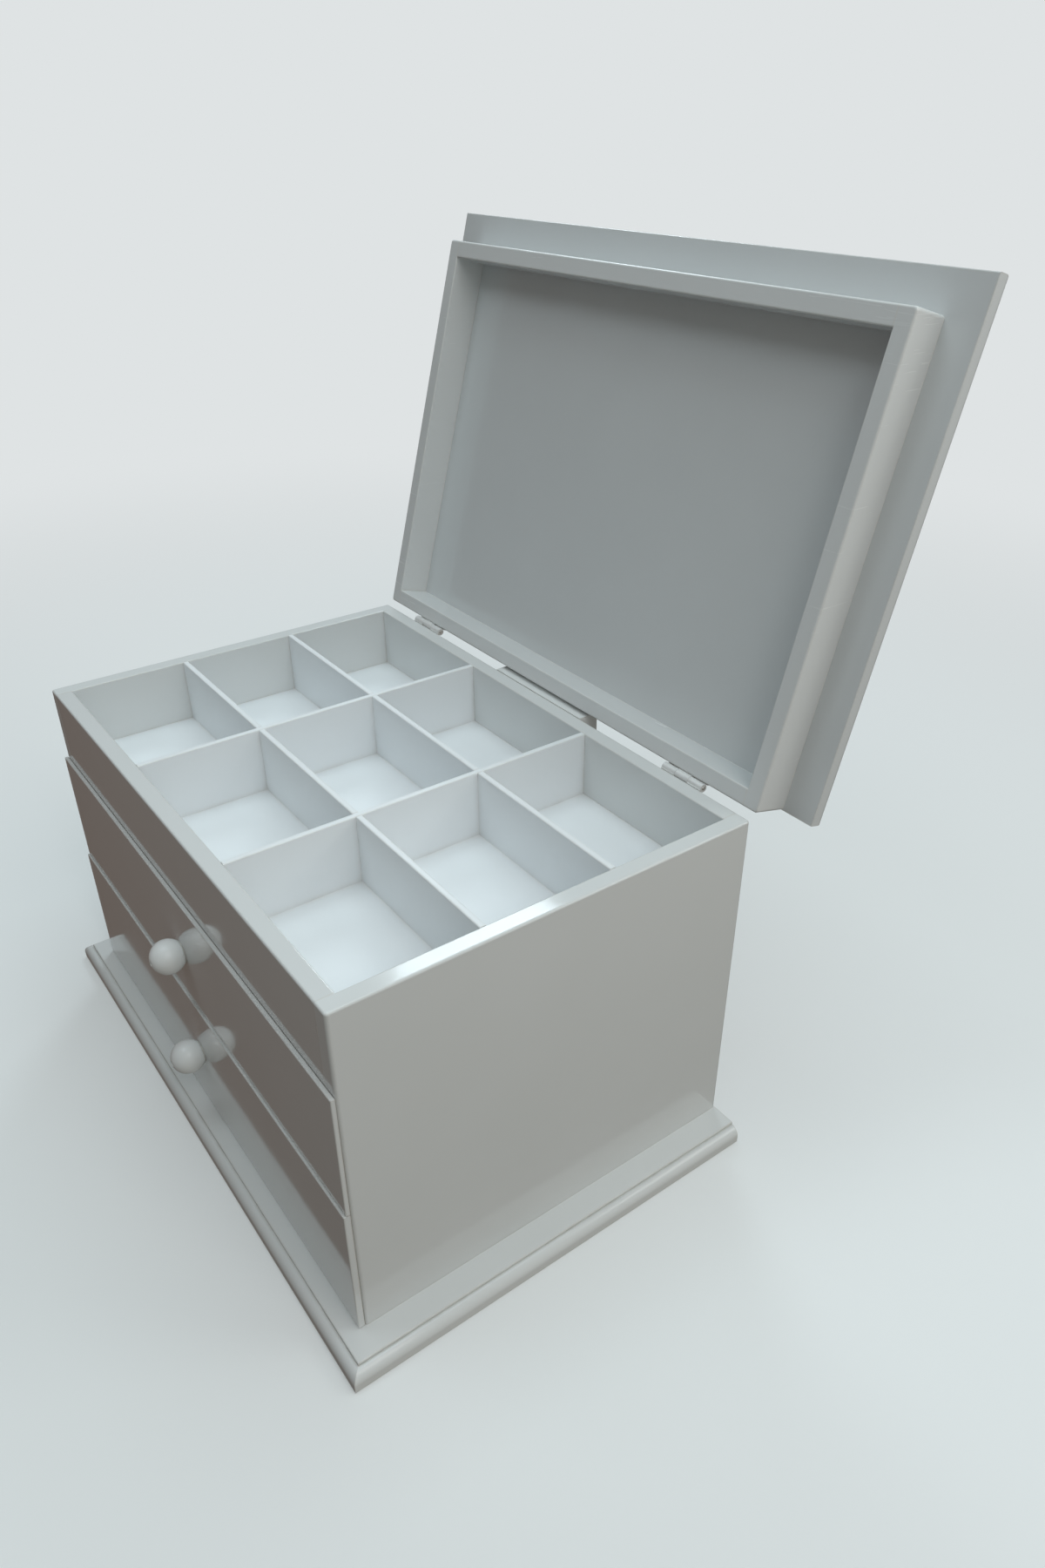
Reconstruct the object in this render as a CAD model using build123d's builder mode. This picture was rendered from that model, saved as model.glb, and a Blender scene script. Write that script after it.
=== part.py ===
from build123d import *
import os
from math import cos, radians, sin, sqrt

# A makeup box: a case with a divided tray and two drawers, under a hinged lid.
# Millimetres. The front faces -Y, +X is right and +Z is up. The origin is the centre
# of the plinth's underside. The lid is modelled open, leaning on its stop.

# Case
case_width = 300
case_depth = 198
case_height = 170
wall_thickness = 8
corner_ease = 1.5
rim_ease = 1
inner_rim_ease = 0.6

# Plinth board and lid board, which share one moulded edge
board_thickness = 10
moulding_step = 1.5
moulding_radius = 4.5
moulding_ease = 0.5
plinth_side_overhang = 17
plinth_front_overhang = 15
lid_overhang = 16

# Tray under the lid
tray_depth = 33
tray_floor_thickness = 3
divider_thickness = 3
divider_ease = 0.6
long_divider_names = ["front_long_divider", "back_long_divider"]
cross_divider_names = ["left_cross_divider", "right_cross_divider"]

# Front panel over the drawers, and the shelf between them
front_panel_height = 39
front_panel_lap = 2
shelf_thickness = 3

# Drawers
upper_face_thickness = 1.8
lower_face_thickness = 2.8
upper_face_height = 61
face_reveal = 0.3
face_gap = 0.6
face_foot_gap = 0.3
face_ease = 0.5
closing_gap = 0.2
drawer_wall = 6
drawer_bottom_thickness = 3
drawer_bottom_lift = 3
groove_depth = 2.5
drawer_side_clearance = 0.8
drawer_running_clearance = 0.3
drawer_top_clearance = 1
drawer_back_clearance = 8
drawer_edge_ease = 0.6

# Ball knobs and the screws that hold them
knob_radius = 8.2
knob_centre_height = 6.5
upper_knob_lift = -2
lower_knob_lift = 2.5
knob_screw_radius = 1.5
knob_screw_reach = 10
knob_screw_head_radius = 3.3
knob_screw_head_height = 2.2
screw_hole_clearance = 0.1

# Lid frame and hinges
lid_frame_height = 17.5
lid_gap = 0.5
open_angle = 105
hinge_inset = 43
hinge_length = 25
leaf_thickness = 1
leaf_height = 10.5
leaf_corner = 1.5
knuckle_radius = 1.9
knuckle_wood_clearance = 0.3
knuckle_end_gap = 0.2
knuckle_notch = 0.3
pin_radius = 0.8
pin_clearance = 0.05
pin_stand_out = 0.4
pin_end_ease = 0.3

# Countersunk hinge screws
hinge_screw_spacing = 15
hinge_screw_radius = 1
hinge_screw_head_radius = 1.9
hinge_screw_length = 7.5
hinge_screw_tip = 2
countersink_angle = 90
countersink_clearance = 0.05

# Cross recess in every screw head
recess_length = 2.4
recess_width = 0.5
recess_depth = 0.5

# Strip on the back that the open lid leans on
stop_length = 71
stop_height = 20
stop_ease = 1.2
stop_clearance = 0.2

# Places worked out from the sizes above
plinth_depth = case_depth + plinth_front_overhang
case_back = plinth_depth / 2
case_front = case_back - case_depth
case_middle = (case_front + case_back) / 2
case_floor = board_thickness
rim = case_floor + case_height
inner_width = case_width - 2 * wall_thickness
inner_depth = case_depth - 2 * wall_thickness
tray_floor_top = rim - tray_depth

# The two drawer faces fill the height under the front panel. The lower one is thicker, so
# its top edge stands out from under the upper one.
upper_face_top = rim - front_panel_height
upper_face_bottom = upper_face_top - upper_face_height
lower_face_top = upper_face_bottom - face_gap
lower_face_bottom = case_floor + face_foot_gap
front_panel_bottom = upper_face_top - front_panel_lap
shelf_middle = (lower_face_top + upper_face_bottom) / 2
shelf_underside = shelf_middle - shelf_thickness / 2
shelf_top = shelf_middle + shelf_thickness / 2

# Every place on the lid is measured from the hinge pins' line, as if the lid were shut
pin_offset = knuckle_radius + knuckle_wood_clearance
lid_opening = radians(open_angle)
pin_line = Vector(0, case_back + pin_offset, rim + lid_gap / 2)
lid_plane = Plane(pin_line, x_dir=(1, 0, 0), z_dir=(0, sin(lid_opening), cos(lid_opening)))
lid_back = -pin_offset
lid_middle = lid_back - case_depth / 2
lid_rim = lid_gap / 2
lid_frame_top = lid_rim + lid_frame_height

# The stop is just thick enough for the lid's back to lean on its outer top edge
stop_reach = (pin_offset + lid_gap / 2 * sin(lid_opening) - stop_clearance) / -cos(lid_opening)
stop_thickness = pin_offset + stop_reach


def save(piece, label):
    """Name a finished piece and write it out."""
    piece.part.label = label
    export_step(piece.part, f"parts/{label}.step")


def moulded_board(place, width, depth):
    """A board, plain at the back, with a step and a quarter round along its other top edges."""
    up = Axis(place.origin, place.z_dir)
    back = Axis(place.origin, place.y_dir)
    round_top = board_thickness - moulding_step
    with BuildPart() as board:
        with BuildSketch(place):
            Rectangle(width, depth)
        extrude(amount=round_top)
        fillet(board.edges().group_by(up)[-1].sort_by(back)[:-1], moulding_radius)
        with BuildSketch(place.offset(round_top)):
            with Locations((0, moulding_radius / 2)):
                Rectangle(width - 2 * moulding_radius, depth - moulding_radius)
        extrude(amount=moulding_step)
        for level in (0, -1):
            fillet(board.edges().group_by(up)[level].sort_by(back)[:-1], moulding_ease)
    return board


def wall_ring(mouth, height):
    """Four walls in one ring behind an open mouth, eased down the corners and round the rim."""
    outward = Axis(mouth.origin, mouth.z_dir)
    with BuildPart() as ring:
        with BuildSketch(mouth):
            Rectangle(case_width, case_depth)
            Rectangle(inner_width, inner_depth, mode=Mode.SUBTRACT)
        extrude(amount=-height)
        fillet(ring.edges().filter_by(outward).sort_by_distance(mouth.origin)[4:], corner_ease)
        fillet(ring.faces().sort_by(outward)[-1].outer_wire().edges(), rim_ease)
        fillet(ring.faces().sort_by(outward)[-1].inner_wires()[0].edges(), inner_rim_ease)
    return ring


def cross_recess(place):
    """Cut the cross of a screwdriver into a screw head whose top lies on a plane."""
    with Locations(place.location):
        Box(recess_length, recess_width, 2 * recess_depth, mode=Mode.SUBTRACT)
        Box(recess_width, recess_length, 2 * recess_depth, mode=Mode.SUBTRACT)


# Hinge places on the pins' line, one list for the case and one for the lid.
# In each, Y points away from the wood and Z runs along the leaf, away from the pin.
hinge_names = ["left_hinge", "right_hinge"]
hinge_reach = case_width / 2 - hinge_inset
hinge_centres = [pin_line + Vector(side * hinge_reach, 0, 0) for side in (-1, 1)]
case_hinges = [Plane(centre, x_dir=(-1, 0, 0), z_dir=(0, 0, -1)) for centre in hinge_centres]
lid_hinges = [Plane(centre, x_dir=(1, 0, 0), z_dir=lid_plane.z_dir) for centre in hinge_centres]

# The two leaves share the length of the pin: the case leaf has the outer knuckles
knuckle_length = (hinge_length - 2 * knuckle_end_gap) / 3
knuckle_pitch = knuckle_length + knuckle_end_gap
case_knuckles = [-knuckle_pitch, knuckle_pitch]
lid_knuckles = [0]


def screw_places(hinge):
    """Where a leaf's screws enter, on the leaf's outer face, each pointing out of the wood."""
    plate_start = knuckle_radius + knuckle_notch
    height = (plate_start + leaf_height) / 2
    outer_face = leaf_thickness - pin_offset
    return [
        hinge * Location((side * hinge_screw_spacing / 2, outer_face, height), (-90, 0, 0))
        for side in (-1, 1)
    ]


def hinge_section(hinge, along):
    """The plane across the pin at a distance along it: X away from the wood, Y along the leaf."""
    start = hinge.from_local_coords(Vector(along, 0, 0))
    return Plane(start, x_dir=hinge.y_dir, z_dir=hinge.x_dir)


def hinge_leaf(hinge, knuckles):
    """A flat plate with knuckles round the pin and two countersunk holes."""
    plate_start = knuckle_radius + knuckle_notch
    with BuildPart() as leaf:
        with BuildSketch(hinge_section(hinge, -hinge_length / 2)):
            with Locations((-pin_offset, plate_start)):
                Rectangle(leaf_thickness, leaf_height - plate_start, align=(Align.MIN, Align.MIN))
        extrude(amount=hinge_length)
        for centre in knuckles:
            with BuildSketch(hinge_section(hinge, centre - knuckle_length / 2)):
                Circle(knuckle_radius)
                with Locations((-pin_offset, 0)):
                    Rectangle(leaf_thickness, plate_start, align=(Align.MIN, Align.MIN))
                Circle(pin_radius + pin_clearance, mode=Mode.SUBTRACT)
            extrude(amount=knuckle_length)
        far_end = leaf.edges().filter_by(Axis(hinge.origin, hinge.y_dir))
        far_end = far_end.group_by(Axis(hinge.origin, hinge.z_dir))[-1]
        fillet(far_end, leaf_corner)
        with Locations(*screw_places(hinge)):
            CounterSinkHole(
                hinge_screw_radius + screw_hole_clearance,
                hinge_screw_head_radius + countersink_clearance,
                leaf_thickness,
                countersink_angle,
            )
    return leaf


def hinge_screws(hinges):
    """All the countersunk screws of one side of the hinges, as separate solids."""
    head_depth = hinge_screw_head_radius - hinge_screw_radius
    with BuildPart() as screws:
        for place in [Plane(spot) for hinge in hinges for spot in screw_places(hinge)]:
            with BuildSketch(Plane(place.origin, x_dir=place.x_dir, z_dir=-place.y_dir)):
                with BuildLine():
                    Polyline(
                        (0, 0),
                        (hinge_screw_head_radius, 0),
                        (hinge_screw_radius, -head_depth),
                        (hinge_screw_radius, hinge_screw_tip - hinge_screw_length),
                        (0, -hinge_screw_length),
                        close=True,
                    )
                make_face()
            revolve(axis=Axis(place.origin, place.z_dir))
            cross_recess(place)
    return screws


def drill_hinge_holes(hinges):
    """Drill the wood being built for the hinge screws."""
    with Locations(*[spot for hinge in hinges for spot in screw_places(hinge)]):
        Hole(hinge_screw_radius + screw_hole_clearance, hinge_screw_length + screw_hole_clearance)


os.makedirs("parts", exist_ok=True)

# Plinth: one board under the whole case, flush with its back
plinth_width = case_width + 2 * plinth_side_overhang
save(moulded_board(Plane.XY, plinth_width, plinth_depth), "plinth_board")

# Walls: eased as one ring, then parted at the joints of the four panels
case_mouth = Plane((0, case_middle, rim))
case_ring = wall_ring(case_mouth, case_height)

# Side panels: the case's full depth, standing on the plinth
for side, label in ((-1, "left_panel"), (1, "right_panel")):
    with BuildPart() as side_panel:
        add(case_ring.part)
        with BuildSketch(case_mouth):
            with Locations((side * (case_width - wall_thickness) / 2, 0)):
                Rectangle(wall_thickness, case_depth)
        extrude(amount=-case_height, mode=Mode.INTERSECT)
    save(side_panel, label)

# Back panel: between the sides, drilled for the hinge screws
with BuildPart() as back_panel:
    add(case_ring.part)
    with BuildSketch(case_mouth):
        with Locations((0, case_depth / 2)):
            Rectangle(inner_width, wall_thickness, align=(Align.CENTER, Align.MAX))
    extrude(amount=-case_height, mode=Mode.INTERSECT)
    drill_hinge_holes(case_hinges)
save(back_panel, "back_panel")

# Fixed front panel of the tray: between the sides, its foot hidden by the upper drawer's face
with BuildPart() as top_front_panel:
    add(case_ring.part)
    with BuildSketch(case_mouth):
        with Locations((0, -case_depth / 2)):
            Rectangle(inner_width, wall_thickness, align=(Align.CENTER, Align.MIN))
    extrude(amount=front_panel_bottom - rim, mode=Mode.INTERSECT)
save(top_front_panel, "top_front_panel")

# Tray floor: let in between the four walls
with BuildPart() as tray_floor:
    with BuildSketch(Plane.XY.offset(tray_floor_top)):
        with Locations((0, case_middle)):
            Rectangle(inner_width, inner_depth)
    extrude(amount=-tray_floor_thickness)
save(tray_floor, "tray_floor")

# Equal spaces between the dividers, counted from the left wall and from the front wall
cross_gaps = len(cross_divider_names)
long_gaps = len(long_divider_names)
cross_pitch = (inner_width + divider_thickness) / (cross_gaps + 1)
long_pitch = (inner_depth + divider_thickness) / (long_gaps + 1)
cross_places = [(number - (cross_gaps - 1) / 2) * cross_pitch for number in range(cross_gaps)]
long_places = [
    case_middle + (number - (long_gaps - 1) / 2) * long_pitch for number in range(long_gaps)
]
crossings = [(cross, long) for cross in cross_places for long in long_places]

# Dividers: the whole grid is drawn and eased along its top, then parted into single boards
tray_bottom = Plane.XY.offset(tray_floor_top)
with BuildPart() as divider_grid:
    with BuildSketch(tray_bottom):
        with Locations(*[(0, place) for place in long_places]):
            Rectangle(inner_width, divider_thickness)
        with Locations(*[(place, case_middle) for place in cross_places]):
            Rectangle(divider_thickness, inner_depth)
    extrude(amount=tray_depth)
    grid_top = divider_grid.faces().sort_by(Axis.Z)[-1]
    fillet(grid_top.edges().filter_by(lambda edge: edge.length > divider_thickness), divider_ease)

# Long dividers: wall to wall, notched from the top for the cross dividers
for label, place in zip(long_divider_names, long_places):
    with BuildPart() as long_divider:
        add(divider_grid.part)
        with BuildSketch(tray_bottom):
            with Locations((0, place)):
                Rectangle(inner_width, divider_thickness)
        extrude(amount=tray_depth, mode=Mode.INTERSECT)
        with BuildSketch(tray_bottom.offset(tray_depth / 2)):
            with Locations(*crossings):
                Rectangle(divider_thickness, divider_thickness)
        extrude(amount=tray_depth / 2, mode=Mode.SUBTRACT)
    save(long_divider, label)

# Cross dividers: front to back, notched from below so that they drop over the long ones
for label, place in zip(cross_divider_names, cross_places):
    with BuildPart() as cross_divider:
        add(divider_grid.part)
        with BuildSketch(tray_bottom):
            with Locations((place, case_middle)):
                Rectangle(divider_thickness, inner_depth)
        extrude(amount=tray_depth, mode=Mode.INTERSECT)
        with BuildSketch(tray_bottom):
            with Locations(*crossings):
                Rectangle(divider_thickness, divider_thickness)
        extrude(amount=tray_depth / 2, mode=Mode.SUBTRACT)
    save(cross_divider, label)

# Shelf between the drawers: from the case's front to the back panel
with BuildPart() as drawer_shelf:
    with BuildSketch(Plane.XY.offset(shelf_underside)):
        with Locations((0, case_front)):
            Rectangle(inner_width, case_depth - wall_thickness, align=(Align.CENTER, Align.MIN))
    extrude(amount=shelf_thickness)
save(drawer_shelf, "drawer_shelf")

# Lid stop: a strip glued across the middle of the back, its top level with the rim
with BuildPart() as lid_stop_strip:
    with BuildSketch(Plane.XY.offset(rim)):
        with Locations((0, case_back)):
            Rectangle(stop_length, stop_thickness, align=(Align.CENTER, Align.MIN))
    extrude(amount=-stop_height)
    fillet(lid_stop_strip.edges().group_by(Axis.Z)[0].sort_by(Axis.Y)[-1], stop_ease)
save(lid_stop_strip, "lid_stop_strip")

# Hinges: a leaf on the case, a leaf on the lid and a pin through their knuckles
for name, case_side, lid_side in zip(hinge_names, case_hinges, lid_hinges):
    save(hinge_leaf(case_side, case_knuckles), f"{name}_case_leaf")
    save(hinge_leaf(lid_side, lid_knuckles), f"{name}_lid_leaf")
    pin_length = hinge_length + 2 * pin_stand_out
    with BuildPart() as hinge_pin:
        with BuildSketch(hinge_section(case_side, -pin_length / 2)):
            Circle(pin_radius)
        extrude(amount=pin_length)
        fillet(hinge_pin.edges().filter_by(GeomType.CIRCLE), pin_end_ease)
    save(hinge_pin, f"{name}_pin")
save(hinge_screws(case_hinges), "case_hinge_screws")
save(hinge_screws(lid_hinges), "lid_hinge_screws")

# Drawer sizes shared by both drawers
drawer_width = inner_width - 2 * drawer_side_clearance
drawer_front = case_front - closing_gap
drawer_back = case_back - wall_thickness - drawer_back_clearance
drawer_length = drawer_back - drawer_front
drawer_space = drawer_width - 2 * drawer_wall
face_width = case_width - 2 * face_reveal


def drawer(name, opening, face_span, face_thickness, knob_lift):
    """Build one drawer. The opening and the face are each given by their bottom and top, and
    the knob by how far above the face's middle it sits."""
    opening_floor, opening_ceiling = opening
    face_bottom, face_top = face_span
    face_front = drawer_front - face_thickness
    screw_seat = drawer_wall + face_thickness
    floor = opening_floor + drawer_running_clearance
    height = opening_ceiling - drawer_top_clearance - floor
    groove = floor + drawer_bottom_lift
    knob_level = (face_bottom + face_top) / 2 + knob_lift
    knob_place = Plane((0, face_front, knob_level), x_dir=(1, 0, 0), z_dir=(0, -1, 0))
    knob_hole = knob_screw_radius + screw_hole_clearance

    # Face: a thin board over the drawer's front, wider and taller than the opening
    with BuildPart() as face:
        with BuildSketch(Plane.XZ.offset(-drawer_front)):
            with Locations((0, face_bottom)):
                Rectangle(face_width, face_top - face_bottom, align=(Align.CENTER, Align.MIN))
        extrude(amount=face_thickness)
        fillet(face.edges().group_by(Axis.Y)[0], face_ease)
        with Locations(knob_place.location):
            Hole(knob_hole, face_thickness)
    save(face, f"{name}_drawer_face")

    # Front and back boards: between the sides, grooved on the inside for the bottom
    for label, board_start, groove_start in (
        ("front", drawer_front, drawer_front + drawer_wall - groove_depth),
        ("back", drawer_back - drawer_wall, drawer_back - drawer_wall),
    ):
        with BuildPart() as board:
            with BuildSketch(Plane.XY.offset(floor)):
                with Locations((0, board_start)):
                    Rectangle(drawer_space, drawer_wall, align=(Align.CENTER, Align.MIN))
            extrude(amount=height)
            fillet(board.edges().filter_by(Axis.X).group_by(Axis.Z)[-1], drawer_edge_ease)
            with BuildSketch(Plane.XY.offset(groove)):
                with Locations((0, groove_start)):
                    Rectangle(drawer_space, groove_depth, align=(Align.CENTER, Align.MIN))
            extrude(amount=drawer_bottom_thickness, mode=Mode.SUBTRACT)
            if label == "front":
                with Locations(knob_place.location):
                    Hole(knob_hole, screw_seat)
        save(board, f"{name}_drawer_{label}")

    # Side boards: the drawer's full length, grooved on the inside for the bottom
    for side, label in ((-1, "left_side"), (1, "right_side")):
        inner_face = side * drawer_space / 2
        with BuildPart() as board:
            with BuildSketch(Plane.XY.offset(floor)):
                with Locations((inner_face + side * drawer_wall / 2, drawer_front)):
                    Rectangle(drawer_wall, drawer_length, align=(Align.CENTER, Align.MIN))
            extrude(amount=height)
            fillet(board.edges().filter_by(Axis.Y).group_by(Axis.Z)[-1], drawer_edge_ease)
            with BuildSketch(Plane.XY.offset(groove)):
                with Locations((inner_face + side * groove_depth / 2, drawer_front)):
                    Rectangle(groove_depth, drawer_length, align=(Align.CENTER, Align.MIN))
            extrude(amount=drawer_bottom_thickness, mode=Mode.SUBTRACT)
        save(board, f"{name}_drawer_{label}")

    # Bottom: a thin panel held in the grooves of all four boards
    with BuildPart() as bottom:
        with BuildSketch(Plane.XY.offset(groove)):
            with Locations((0, drawer_front + drawer_wall - groove_depth)):
                Rectangle(
                    drawer_space + 2 * groove_depth,
                    drawer_length - 2 * (drawer_wall - groove_depth),
                    align=(Align.CENTER, Align.MIN),
                )
        extrude(amount=drawer_bottom_thickness)
    save(bottom, f"{name}_drawer_bottom")

    # Knob: a ball on a flat foot, drilled for its screw
    foot_radius = sqrt(knob_radius**2 - knob_centre_height**2)
    knob_height = knob_centre_height + knob_radius
    with BuildPart() as knob:
        with BuildSketch(Plane(knob_place.origin, x_dir=(1, 0, 0), z_dir=-knob_place.y_dir)):
            with BuildLine():
                Line((0, 0), (foot_radius, 0))
                ThreePointArc((foot_radius, 0), (knob_radius, knob_centre_height), (0, knob_height))
                Line((0, knob_height), (0, 0))
            make_face()
        revolve(axis=Axis(knob_place.origin, knob_place.z_dir))
        pilot_end = knob_screw_reach + screw_hole_clearance
        with Locations(knob_place.offset(pilot_end).location):
            Hole(knob_hole, pilot_end)
    save(knob, f"{name}_drawer_knob")

    # Knob screw: driven from inside the drawer, its head flat on the front board
    with BuildPart() as screw:
        with BuildSketch(knob_place.offset(-screw_seat)):
            Circle(knob_screw_radius)
        extrude(amount=screw_seat + knob_screw_reach)
        with BuildSketch(knob_place.offset(-screw_seat)):
            Circle(knob_screw_head_radius)
        extrude(amount=-knob_screw_head_height)
        head_rim = screw.edges().filter_by(GeomType.CIRCLE).sort_by(Axis.Y)[-1]
        fillet(head_rim, knob_screw_head_height / 2)
        head_top = Plane(
            (0, knob_place.origin.Y + screw_seat + knob_screw_head_height, knob_place.origin.Z),
            x_dir=(1, 0, 0),
            z_dir=(0, 1, 0),
        )
        cross_recess(head_top)
    save(screw, f"{name}_drawer_knob_screw")


drawer(
    "lower",
    (case_floor, shelf_underside),
    (lower_face_bottom, lower_face_top),
    lower_face_thickness,
    lower_knob_lift,
)
drawer(
    "upper",
    (shelf_top, front_panel_bottom),
    (upper_face_bottom, upper_face_top),
    upper_face_thickness,
    upper_knob_lift,
)

# Lid board: over the whole lid frame, flush with its back
lid_board_depth = case_depth + lid_overhang
lid_board_place = Plane(
    lid_plane.from_local_coords(Vector(0, lid_back - lid_board_depth / 2, lid_frame_top)),
    x_dir=lid_plane.x_dir,
    z_dir=lid_plane.z_dir,
)
save(moulded_board(lid_board_place, case_width + 2 * lid_overhang, lid_board_depth), "lid_board")

# Lid frame: four strips under the board, eased as one ring and parted like the case's walls
lid_mouth = Plane(
    lid_plane.from_local_coords(Vector(0, lid_middle, lid_rim)),
    x_dir=lid_plane.x_dir,
    z_dir=-lid_plane.z_dir,
)
lid_ring = wall_ring(lid_mouth, lid_frame_height)

# Lid frame sides: the lid's full depth
for side, label in ((-1, "lid_frame_left"), (1, "lid_frame_right")):
    with BuildPart() as lid_frame_side:
        add(lid_ring.part)
        with BuildSketch(lid_mouth):
            with Locations((side * (case_width - wall_thickness) / 2, 0)):
                Rectangle(wall_thickness, case_depth)
        extrude(amount=-lid_frame_height, mode=Mode.INTERSECT)
    save(lid_frame_side, label)

# Lid frame front: between the sides
with BuildPart() as lid_frame_front:
    add(lid_ring.part)
    with BuildSketch(lid_mouth):
        with Locations((0, case_depth / 2)):
            Rectangle(inner_width, wall_thickness, align=(Align.CENTER, Align.MAX))
    extrude(amount=-lid_frame_height, mode=Mode.INTERSECT)
save(lid_frame_front, "lid_frame_front")

# Lid frame back: between the sides, drilled for the hinge screws
with BuildPart() as lid_frame_back:
    add(lid_ring.part)
    with BuildSketch(lid_mouth):
        with Locations((0, -case_depth / 2)):
            Rectangle(inner_width, wall_thickness, align=(Align.CENTER, Align.MIN))
    extrude(amount=-lid_frame_height, mode=Mode.INTERSECT)
    drill_hinge_holes(lid_hinges)
save(lid_frame_back, "lid_frame_back")
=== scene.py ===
"""A white lacquered makeup box: a divided tray under a hinged lid, over two drawers."""

import math

import bpy
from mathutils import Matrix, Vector

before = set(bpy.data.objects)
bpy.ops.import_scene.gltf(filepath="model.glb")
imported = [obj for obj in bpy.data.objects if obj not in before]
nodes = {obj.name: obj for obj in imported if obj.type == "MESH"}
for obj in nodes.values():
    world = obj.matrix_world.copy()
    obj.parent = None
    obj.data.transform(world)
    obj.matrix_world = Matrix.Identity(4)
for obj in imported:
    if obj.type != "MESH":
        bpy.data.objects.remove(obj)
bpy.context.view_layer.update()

# Plinth
# The board that the box stands on: 10 mm fibreboard, wider than the case in front and at the
# sides, with a step over a quarter round run along its top edge. It is sanded, primed and
# sprayed gloss white, and glued and screwed up into the case's walls.

# Where a Mix node has its factor and its two colours, and the mixed colour among its outputs
FACTOR = 0
COLOUR_A = 6
COLOUR_B = 7
MIXED_COLOUR = 2

# Noise runs from 0 to 1, but nearly all of it lies between these
NOISE_LOW = 0.3
NOISE_HIGH = 0.7


def linear(hex_colour):
    """An sRGB hex colour as the linear values that Blender works with."""
    channels = [int(hex_colour[start:start + 2], 16) / 255 for start in (1, 3, 5)]
    return tuple(c / 12.92 if c <= 0.04045 else ((c + 0.055) / 1.055) ** 2.4 for c in channels)


def metres(millimetres):
    """A length in millimetres as Blender's metres."""
    return millimetres / 1000


def per_metre(millimetres):
    """A texture's scale for features of a size in millimetres."""
    return 1000 / millimetres


def add_node(tree, kind, settings=None, links=None):
    """Add a node, set its properties and sockets, and link other nodes' outputs into it."""
    node = tree.nodes.new(kind)
    for name, value in (settings or {}).items():
        if isinstance(name, str) and hasattr(node, name):
            setattr(node, name, value)
        else:
            node.inputs[name].default_value = value
    for name, output in (links or {}).items():
        tree.links.new(output, node.inputs[name])
    return node


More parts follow.
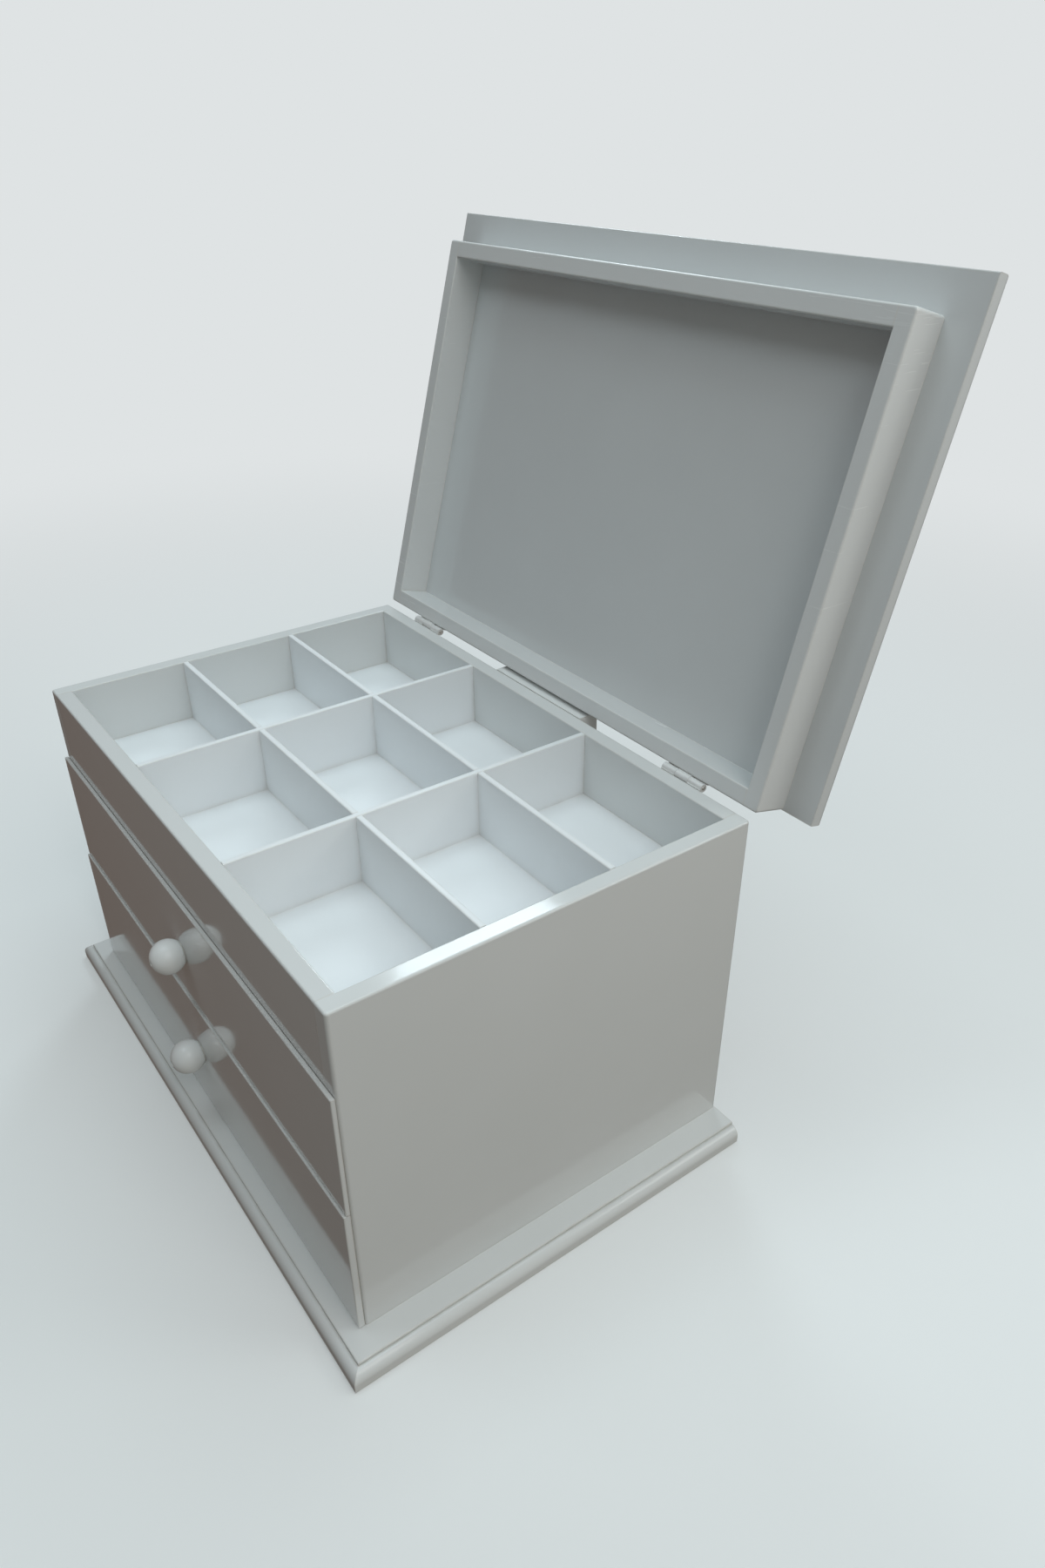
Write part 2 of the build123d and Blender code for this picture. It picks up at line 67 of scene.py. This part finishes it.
def sprayed_lacquer(name, colour, thin_colour, roughness, peel_depth, dust_and_shade, dust_and_shade_reach,
                    grain=(40, 40, 40), grain_depth=0.02, seams=True, clear_coat=0.0):
    """Pigmented lacquer sprayed on sanded board. Seen close, its tone and gloss drift where the
    coats lie thicker, orange peel breaks up the reflections, the grain or the board's waviness
    shows through, edges are rubbed thin, and the corners are darkened with dust and painted
    shade, with or without the seams between pieces. Lengths are in millimetres; the grain's
    length is along X, Y and Z."""
    paint = bpy.data.materials.new(name)
    paint.use_nodes = True
    tree = paint.node_tree
    tree.nodes.clear()
    place = add_node(tree, "ShaderNodeTexCoord").outputs["Object"]

    # Thicker and thinner coats
    coat_patch = 60
    patches = add_node(
        tree, "ShaderNodeTexNoise", {"Scale": per_metre(coat_patch), "Detail": 3.0},
        {"Vector": place},
    )
    tone = add_node(
        tree, "ShaderNodeMix",
        {
            "data_type": "RGBA",
            COLOUR_A: (*linear(thin_colour), 1),
            COLOUR_B: (*linear(colour), 1),
        },
        {FACTOR: patches.outputs["Fac"]},
    )

    # Dust and powder in uneven patches in the corners, together with painted shade: the deeper a
    # spot lies in a corner, the darker it is painted. A spot in the open sees more than 92
    # percent of what is round it, and one deep in a corner sees less than 45 percent.
    in_the_open = 0.92
    deep_in_corner = 0.45
    dust_and_shade_patch = 9
    shelter = add_node(
        tree, "ShaderNodeAmbientOcclusion",
        {"samples": 6, "only_local": not seams, "Distance": metres(dust_and_shade_reach)},
    )
    sheltered = add_node(
        tree, "ShaderNodeMapRange", {"From Min": in_the_open, "From Max": deep_in_corner},
        {"Value": shelter.outputs["AO"]},
    )
    drift = add_node(
        tree, "ShaderNodeTexNoise", {"Scale": per_metre(dust_and_shade_patch), "Detail": 4.0},
        {"Vector": place},
    )
    dust_and_shade_mask = add_node(
        tree, "ShaderNodeMath", {"operation": "MULTIPLY", "use_clamp": True},
        {0: sheltered.outputs["Result"], 1: drift.outputs["Fac"]},
    )
    dusted_and_shaded = add_node(
        tree, "ShaderNodeMix", {"data_type": "RGBA", COLOUR_B: (*linear(dust_and_shade), 1)},
        {FACTOR: dust_and_shade_mask.outputs["Value"], COLOUR_A: tone.outputs[MIXED_COLOUR]},
    )

    # Edges rubbed thin in broken stretches, but not where they lie in a corner. An edge shows
    # in how far the surface's direction, rounded over the rubbed width, turns from the face's.
    rubbed_width = 1
    rubbed_stretch = 8
    rubbed_colour = "#cfc9c0"
    full_edge = 0.9
    rounded = add_node(
        tree, "ShaderNodeBevel", {"samples": 4, "Radius": metres(rubbed_width)}
    )
    flat = add_node(tree, "ShaderNodeNewGeometry").outputs["Normal"]
    agreement = add_node(
        tree, "ShaderNodeVectorMath", {"operation": "DOT_PRODUCT"},
        {0: rounded.outputs["Normal"], 1: flat},
    )
    edge = add_node(
        tree, "ShaderNodeMapRange", {"From Min": 1.0, "From Max": full_edge},
        {"Value": agreement.outputs["Value"]},
    )
    open_edge = add_node(
        tree, "ShaderNodeMath", {"operation": "SUBTRACT", "use_clamp": True},
        {0: edge.outputs["Result"], 1: sheltered.outputs["Result"]},
    )
    stretches = add_node(
        tree, "ShaderNodeTexNoise", {"Scale": per_metre(rubbed_stretch), "Detail": 2.0},
        {"Vector": place},
    )
    worn = add_node(
        tree, "ShaderNodeMath", {"operation": "MULTIPLY", "use_clamp": True},
        {0: open_edge.outputs["Value"], 1: stretches.outputs["Fac"]},
    )
    rubbed = add_node(
        tree, "ShaderNodeMix", {"data_type": "RGBA", COLOUR_B: (*linear(rubbed_colour), 1)},
        {FACTOR: worn.outputs["Value"], COLOUR_A: dusted_and_shaded.outputs[MIXED_COLOUR]},
    )

    # The gloss drifts with the coats
    gloss = add_node(
        tree, "ShaderNodeMapRange",
        {
            "From Min": NOISE_LOW,
            "From Max": NOISE_HIGH,
            "To Min": roughness * 0.8,
            "To Max": roughness * 1.25,
        },
        {"Value": patches.outputs["Fac"]},
    )

    # It is duller in the marks of a cloth, some 30 mm long and 1.2 mm wide and wiped aslant
    wipe_size = (30, 30, 1.2)
    wipe_slant = (0.3, 0.5, 0.0)
    wipe_start = 0.58
    wipe_middle = 0.72
    wipe_dulling = 0.05
    drawn_out = add_node(
        tree, "ShaderNodeMapping",
        {"Scale": tuple(per_metre(length) for length in wipe_size), "Rotation": wipe_slant},
        {"Vector": place},
    )
    strokes = add_node(
        tree, "ShaderNodeTexNoise", {"Scale": 1.0, "Detail": 2.0},
        {"Vector": drawn_out.outputs["Vector"]},
    )
    wiped = add_node(
        tree, "ShaderNodeMapRange",
        {"From Min": wipe_start, "From Max": wipe_middle, "To Max": wipe_dulling},
        {"Value": strokes.outputs["Fac"]},
    )
    marked = add_node(
        tree, "ShaderNodeMath", {"operation": "ADD"},
        {0: gloss.outputs["Result"], 1: wiped.outputs["Result"]},
    )

    # It is duller still under the dust and painted shade, and on rubbed edges
    soil_dulling = 0.3
    soiled = add_node(
        tree, "ShaderNodeMath", {"operation": "MAXIMUM"},
        {0: worn.outputs["Value"], 1: dust_and_shade_mask.outputs["Value"]},
    )
    dulled = add_node(
        tree, "ShaderNodeMath", {"operation": "MULTIPLY_ADD", 1: soil_dulling},
        {0: soiled.outputs["Value"], 2: marked.outputs["Value"]},
    )

    # Orange peel over the grain
    peel_size = 1.5
    fibres = add_node(
        tree, "ShaderNodeMapping", {"Scale": tuple(per_metre(length) for length in grain)},
        {"Vector": place},
    )
    board = add_node(
        tree, "ShaderNodeTexNoise", {"Scale": 1.0, "Detail": 1.0},
        {"Vector": fibres.outputs["Vector"]},
    )
    peel = add_node(
        tree, "ShaderNodeTexNoise", {"Scale": per_metre(peel_size), "Detail": 1.0},
        {"Vector": place},
    )
    relief = add_node(
        tree, "ShaderNodeBump", {"Strength": 1.0, "Distance": metres(grain_depth)},
        {"Height": board.outputs["Fac"]},
    )
    skin = add_node(
        tree, "ShaderNodeBump", {"Strength": 1.0, "Distance": metres(peel_depth)},
        {"Height": peel.outputs["Fac"], "Normal": relief.outputs["Normal"]},
    )
    coat = add_node(
        tree, "ShaderNodeBsdfPrincipled",
        {"IOR": 1.5, "Coat Weight": clear_coat, "Coat Roughness": 0.05, "Coat IOR": 1.5},
        {
            "Base Color": rubbed.outputs[MIXED_COLOUR],
            "Roughness": dulled.outputs["Value"],
            "Normal": skin.outputs["Normal"],
        },
    )
    add_node(tree, "ShaderNodeOutputMaterial", None, {"Surface": coat.outputs["BSDF"]})
    return paint


def finish(paint, *names):
    """Give one finish to pieces that keep their CAD shape."""
    for name in names:
        for slot in nodes[name].material_slots:
            slot.material = paint


# Gloss white polyurethane lacquer: an even, cool white with clear but slightly broken
# reflections, and a grey line of painted shade, mottled like dust, along the step of the
# moulding
plinth_lacquer = sprayed_lacquer(
    "gloss_white_plinth_lacquer", "#e5e7e7", "#e0e2e1", roughness=0.12, peel_depth=0.012,
    dust_and_shade="#8f887e", dust_and_shade_reach=1.6, seams=False,
)
finish(plinth_lacquer, "plinth_board")

# Case walls
# Four 8 mm fibreboard walls, glued and pinned edge to edge and sprayed with the plinth as one:
# both sides at full depth, the back and the fixed front panel let in between them.

# The same gloss lacquer, flatter and shinier on the large faces
case_lacquer = sprayed_lacquer(
    "gloss_white_case_lacquer", "#dee0e0", "#d9dbda", roughness=0.09, peel_depth=0.008,
    dust_and_shade="#c9c4bd", dust_and_shade_reach=1.2,
)
finish(case_lacquer, "left_panel", "right_panel", "back_panel")

# Tray
# A 3 mm fibreboard floor let in between the walls, and four 3 mm dividers that are notched
# into each other, eased along their tops and dropped in after spraying.

# Satin white lacquer, painted whiter than the case's as light that fills the tray: no mirror
# images, only broad soft sheen, with face powder and painted shade in the corners
brightened_tray_lacquer = sprayed_lacquer(
    "satin_white_tray_lacquer_painted_lighter", "#eff2f4", "#e9ecee", roughness=0.42, peel_depth=0.012,
    dust_and_shade="#dddcda", dust_and_shade_reach=3,
)
finish(
    brightened_tray_lacquer, "tray_floor", "front_long_divider", "back_long_divider",
    "left_cross_divider", "right_cross_divider",
)

# Drawer shelf
# A plain 3 mm hardboard shelf between the drawers, let in between the walls. It is brushed
# over rather than sprayed, since nobody sees it.

# Brushed white paint: greyer and nearly matt, with the brush's ridges running front to back
shelf_paint = sprayed_lacquer(
    "brushed_white_shelf_paint", "#dcdedd", "#d2d3d0", roughness=0.55, peel_depth=0.02,
    dust_and_shade="#a09a90", dust_and_shade_reach=6, grain=(1.5, 60, 1.5), grain_depth=0.04,
)
finish(shelf_paint, "drawer_shelf")

# Drawer boxes
# Open boxes of 6 mm softwood strip, butted and glued, with a 3 mm bottom held in a groove.
# They get one thin coat of satin white, so the wood's grain shows through.

# Thin satin lacquer: soft sheen over the fine ridges of the grain, which run along each strip,
# and over the gentle waves of the bottom's board
for lay, grain, parts in (
    ("across", (90, 1.4, 1.4), ("front", "back")),
    ("lengthwise", (1.4, 90, 1.4), ("left_side", "right_side")),
    ("board", (40, 40, 40), ("bottom",)),
):
    drawer_lacquer = sprayed_lacquer(
        f"thin_satin_white_{lay}_grain", "#e4e6e6", "#d9dad8", roughness=0.36, peel_depth=0.008,
        dust_and_shade="#b9b1a7", dust_and_shade_reach=5, grain=grain, grain_depth=0.05,
    )
    for drawer in ("lower_drawer", "upper_drawer"):
        finish(drawer_lacquer, *[f"{drawer}_{part}" for part in parts])

# Drawer faces
# Thin fibreboard faces glued over the drawers' fronts. They lie before the case's front edge
# when the drawers are shut: the upper one stands out by 2 mm and the thicker lower one by 3 mm.

# Gloss lacquer again, rubbed flat and given a clear coat on the whole front, the fixed panel
# too: the clearest mirror on the box, which shows the knobs and the plinth's ledge
face_lacquer = sprayed_lacquer(
    "gloss_white_face_lacquer", "#dee0e0", "#d9dbda", roughness=0.08, peel_depth=0.006,
    dust_and_shade="#cfcbc5", dust_and_shade_reach=1.0, clear_coat=0.6,
)
finish(face_lacquer, "lower_drawer_face", "upper_drawer_face", "top_front_panel")

# Knobs and their screws
# Turned hardwood balls of some 16 mm on a small flat foot, dipped in gloss white, and pulled
# tight by a screw from inside the drawer.

# Dipped lacquer is thicker and softer than sprayed: a round highlight over the turned rings,
# which are 1 mm apart and run across the knob's axis, along Y. Its white is painted lighter
# than the case's, standing in for the light that the knobs catch.
brightened_knob_lacquer = sprayed_lacquer(
    "dipped_white_knob_lacquer_painted_lighter", "#f8fafa", "#f3f5f5", roughness=0.2, peel_depth=0.004,
    dust_and_shade="#cdc9c3", dust_and_shade_reach=1.0, grain=(60, 1, 60), grain_depth=0.015,
)
finish(brightened_knob_lacquer, "lower_drawer_knob", "upper_drawer_knob")


def plated_steel(name, colour, dull_colour, roughness, stroke, metallic=1.0):
    """Steel under thin plating: bright metal with tarnish in small spots, and fine scratches
    from the tool along one direction. The strokes' length is given in millimetres along X, Y
    and Z, and a mist of lacquer over the metal makes it less metallic."""
    metal = bpy.data.materials.new(name)
    metal.use_nodes = True
    tree = metal.node_tree
    tree.nodes.clear()
    place = add_node(tree, "ShaderNodeTexCoord").outputs["Object"]

    # Tarnish
    spot_size = 1.2
    spots = add_node(
        tree, "ShaderNodeTexNoise", {"Scale": per_metre(spot_size), "Detail": 3.0},
        {"Vector": place},
    )
    tone = add_node(
        tree, "ShaderNodeMix",
        {
            "data_type": "RGBA",
            COLOUR_A: (*linear(dull_colour), 1),
            COLOUR_B: (*linear(colour), 1),
        },
        {FACTOR: spots.outputs["Fac"]},
    )

    # Scratches, in the shine and in the surface
    scratch_depth = 0.02
    stretched = add_node(
        tree, "ShaderNodeMapping", {"Scale": tuple(per_metre(length) for length in stroke)},
        {"Vector": place},
    )
    scratches = add_node(
        tree, "ShaderNodeTexNoise", {"Scale": 1.0, "Detail": 2.0},
        {"Vector": stretched.outputs["Vector"]},
    )
    shine = add_node(
        tree, "ShaderNodeMapRange",
        {
            "From Min": NOISE_LOW,
            "From Max": NOISE_HIGH,
            "To Min": roughness * 0.7,
            "To Max": roughness * 1.3,
        },
        {"Value": scratches.outputs["Fac"]},
    )
    relief = add_node(
        tree, "ShaderNodeBump", {"Strength": 0.5, "Distance": metres(scratch_depth)},
        {"Height": scratches.outputs["Fac"]},
    )
    surface = add_node(
        tree, "ShaderNodeBsdfPrincipled", {"Metallic": metallic},
        {
            "Base Color": tone.outputs[MIXED_COLOUR],
            "Roughness": shine.outputs["Result"],
            "Normal": relief.outputs["Normal"],
        },
    )
    add_node(tree, "ShaderNodeOutputMaterial", None, {"Surface": surface.outputs["BSDF"]})
    return metal


# Zinc plating: bluish, half dull, with marks of the driver all ways
screw_zinc = plated_steel(
    "zinc_plated_screw_steel", "#cfd4d8", "#aeb2b6", roughness=0.36, stroke=(0.5, 0.5, 0.5)
)
finish(screw_zinc, "lower_drawer_knob_screw", "upper_drawer_knob_screw")

# Hinges
# Two small butt hinges, 25 mm long: leaves stamped from 1 mm steel and rolled into knuckles,
# nickel plated and brushed along their length, turning on a drawn steel pin. Each leaf is
# held by two countersunk screws. They went on before the last coat, so some of it lies on them.

# Brushed nickel under a mist of white lacquer: nearly as pale as the box, with a dull shine
hinge_nickel = plated_steel(
    "misted_nickel_hinge_steel", "#f6f7f7", "#e8e9e8", roughness=0.45, stroke=(6, 0.25, 0.25),
    metallic=0.35,
)

# Bare drawn steel: a warmer, brighter metal with long fine lines along the pin
pin_steel = plated_steel(
    "drawn_steel_hinge_pin", "#dcdad6", "#b9b6b0", roughness=0.25, stroke=(8, 0.2, 0.2)
)
for side in ("left_hinge", "right_hinge"):
    finish(hinge_nickel, f"{side}_case_leaf", f"{side}_lid_leaf")
    finish(pin_steel, f"{side}_pin")
finish(screw_zinc, "case_hinge_screws", "lid_hinge_screws")

# Lid stop
# A strip of fibreboard glued across the middle of the back, level with the rim. The open lid
# leans on its outer edge.

# Gloss white, painted a little whiter than the case to lift the strip out of the open lid's
# shade, and duller
lightened_stop_lacquer = sprayed_lacquer(
    "gloss_white_stop_lacquer_painted_lighter", "#eceeee", "#e6e8e7", roughness=0.18, peel_depth=0.012,
    dust_and_shade="#d6d3cf", dust_and_shade_reach=1.0,
)
finish(lightened_stop_lacquer, "lid_stop_strip")

# Lid
# A 10 mm board with the plinth's moulded edge over a frame of four 8 mm strips, so that it is
# hollow below. Board and frame are glued, filled and sprayed together with the case's lacquer.

# The board is wiped and touched most: the same gloss white with stronger orange peel, painted
# a little greyer than the case as shade on the open lid's inside, and with a grey line of
# painted shade along the step of its moulding
shaded_lid_lacquer = sprayed_lacquer(
    "gloss_white_lid_lacquer_painted_greyer", "#d6d9da", "#d0d3d4", roughness=0.13, peel_depth=0.012,
    dust_and_shade="#aaa59d", dust_and_shade_reach=1.4, seams=False,
)
finish(shaded_lid_lacquer, "lid_board")

# The frame's strips took all the coats: as white as the case, but less polished
frame_lacquer = sprayed_lacquer(
    "gloss_white_lid_frame_lacquer", "#dfe1e1", "#d9dbdb", roughness=0.22, peel_depth=0.012,
    dust_and_shade="#cfccc7", dust_and_shade_reach=1.2,
)
finish(
    frame_lacquer, "lid_frame_front", "lid_frame_back", "lid_frame_left", "lid_frame_right"
)

# Camera
# A phone held by hand half a metre away, above the box's front right corner, so that it looks
# down into the tray. Its wide lens makes the lid flare out towards the top.
camera_data = bpy.data.cameras.new("camera")
camera_data.lens = 25.22
camera_data.sensor_width = 36
camera_data.shift_x = -0.0101
camera_data.shift_y = 0.0156
camera_data.clip_start = 0.01
camera = bpy.data.objects.new("camera", camera_data)
camera.location = (0.4059, -0.1964, 0.4286)
camera.rotation_euler = [math.radians(angle) for angle in (57.85, -0.22, 53.27)]
bpy.context.collection.objects.link(camera)
bpy.context.scene.camera = camera
bpy.context.scene.view_settings.view_transform = "Standard"

# Room
# A studio with a pale ceiling and a pale right side, given as the soft light from each of its
# six sides. What the drawers face is dim and brownish, so the front stays dark and mirrors the
# knobs.
ROOM_SIDES = {
    (0, 0, 1): "#8c9496",
    (1, 0, 0): "#989790",
    (-1, 0, 0): "#5c483e",
    (0, 1, 0): "#4e5053",
    (0, -1, 0): "#1a1814",
    (0, 0, -1): "#4a4845",
}
BACKDROP_COLOUR = "#dfe3e4"
room = bpy.data.worlds.new("room")
bpy.context.scene.world = room
room.use_nodes = True
tree = room.node_tree
tree.nodes.clear()
direction = add_node(tree, "ShaderNodeTexCoord").outputs["Generated"]
total = None
for side, colour in ROOM_SIDES.items():
    facing = add_node(
        tree, "ShaderNodeVectorMath", {"operation": "DOT_PRODUCT", 1: side}, {0: direction}
    )
    lit = add_node(
        tree, "ShaderNodeMath", {"operation": "MAXIMUM", 1: 0.0}, {0: facing.outputs["Value"]}
    )
    share = add_node(
        tree, "ShaderNodeVectorMath", {"operation": "SCALE", 0: linear(colour)},
        {"Scale": lit.outputs["Value"]},
    )
    if total is None:
        total = share
    else:
        total = add_node(
            tree, "ShaderNodeVectorMath", {"operation": "ADD"},
            {0: total.outputs["Vector"], 1: share.outputs["Vector"]},
        )
seen_room = add_node(
    tree, "ShaderNodeBackground", {"Color": (*linear(BACKDROP_COLOUR), 1), "Strength": 1.0}
)
light_room = add_node(
    tree, "ShaderNodeBackground", {"Strength": 1.0}, {"Color": total.outputs["Vector"]}
)
camera_ray = add_node(tree, "ShaderNodeLightPath").outputs["Is Camera Ray"]
mixed_room = add_node(
    tree, "ShaderNodeMixShader", None,
    {"Fac": camera_ray, 1: light_room.outputs["Background"], 2: seen_room.outputs["Background"]},
)
add_node(tree, "ShaderNodeOutputWorld", None, {"Surface": mixed_room.outputs["Shader"]})

# Lights
# Six soft boxes: two overhead, one behind the left end like a window, one beyond the right
# side, a weak one at the back right corner, and one far to the right that grazes the rims and
# gives the right wall's rim its glint.


def soft_light(name, place, aim, size, power, colour):
    """A soft box of a width and height in metres at a place, turned towards a point."""
    data = bpy.data.lights.new(name, "AREA")
    data.shape = "RECTANGLE"
    data.size, data.size_y = size
    data.energy = power
    data.color = linear(colour)
    light = bpy.data.objects.new(name, data)
    light.location = place
    light.rotation_euler = (Vector(aim) - Vector(place)).to_track_quat("-Z", "Y").to_euler()
    bpy.context.collection.objects.link(light)


soft_light(
    "ceiling_light", place=(0.05, 0.20, 1.30), aim=(0.05, 0.10, 0), size=(0.7, 0.7),
    power=3.2, colour="#e1f9ff",
)
soft_light(
    "front_light", place=(-0.22, -0.40, 1.15), aim=(0, -0.05, 0.1), size=(0.4, 0.4),
    power=1.5, colour="#eaf7fd",
)
soft_light(
    "window_light", place=(-0.65, 0.50, 0.85), aim=(-0.05, 0.05, 0.15), size=(0.25, 0.3),
    power=2.0, colour="#e8f8ff",
)
soft_light(
    "right_light", place=(0.90, 0.00, 1.10), aim=(0, 0, 0.1), size=(0.5, 0.6),
    power=2.1, colour="#fff6f2",
)
soft_light(
    "back_right_light", place=(0.50, 0.40, 0.50), aim=(0.15, 0.05, 0.10), size=(0.25, 0.25),
    power=0.5, colour="#f4f8f6",
)
soft_light(
    "grazing_light", place=(0.90, -0.28, 1.00), aim=(0, -0.08, 0.12), size=(0.3, 0.3),
    power=1.1, colour="#eef8fa",
)

# Floor
# A wide pale table top, matt painted. Near the box it takes a soft shadow, and further off it
# fades into the backdrop, so no horizon shows. It lies 0.2 mm under the plinth, so that the two
# faces don't fight.
FLOOR_WIDTH = 30
FLOOR_DROP = 0.0002
FADE_START = 0.2
FADE_END = 1.3
FADE_AT_BOX = 0.15
bpy.ops.object.select_all(action="DESELECT")
bpy.ops.mesh.primitive_plane_add(size=FLOOR_WIDTH, location=(0, 0, -FLOOR_DROP))
floor = bpy.context.object
floor.name = "floor"
floor_paint = bpy.data.materials.new("matt_floor_paint")
floor_paint.use_nodes = True
tree = floor_paint.node_tree
tree.nodes.clear()
place = add_node(tree, "ShaderNodeTexCoord").outputs["Object"]
distance = add_node(tree, "ShaderNodeVectorMath", {"operation": "LENGTH"}, {0: place})
faded = add_node(
    tree, "ShaderNodeMapRange",
    {
        "interpolation_type": "SMOOTHSTEP",
        "From Min": FADE_START,
        "From Max": FADE_END,
        "To Min": FADE_AT_BOX,
    },
    {"Value": distance.outputs["Value"]},
)
lit_floor = add_node(
    tree, "ShaderNodeBsdfDiffuse", {"Color": (*linear("#f4f6f6"), 1), "Roughness": 0.5}
)
far_floor = add_node(
    tree, "ShaderNodeEmission", {"Color": (*linear(BACKDROP_COLOUR), 1), "Strength": 1.0}
)
mixed_floor = add_node(
    tree, "ShaderNodeMixShader", None,
    {
        "Fac": faded.outputs["Result"],
        1: lit_floor.outputs["BSDF"],
        2: far_floor.outputs["Emission"],
    },
)
add_node(tree, "ShaderNodeOutputMaterial", None, {"Surface": mixed_floor.outputs["Shader"]})
floor.data.materials.append(floor_paint)
floor.visible_diffuse = False
floor.visible_glossy = False
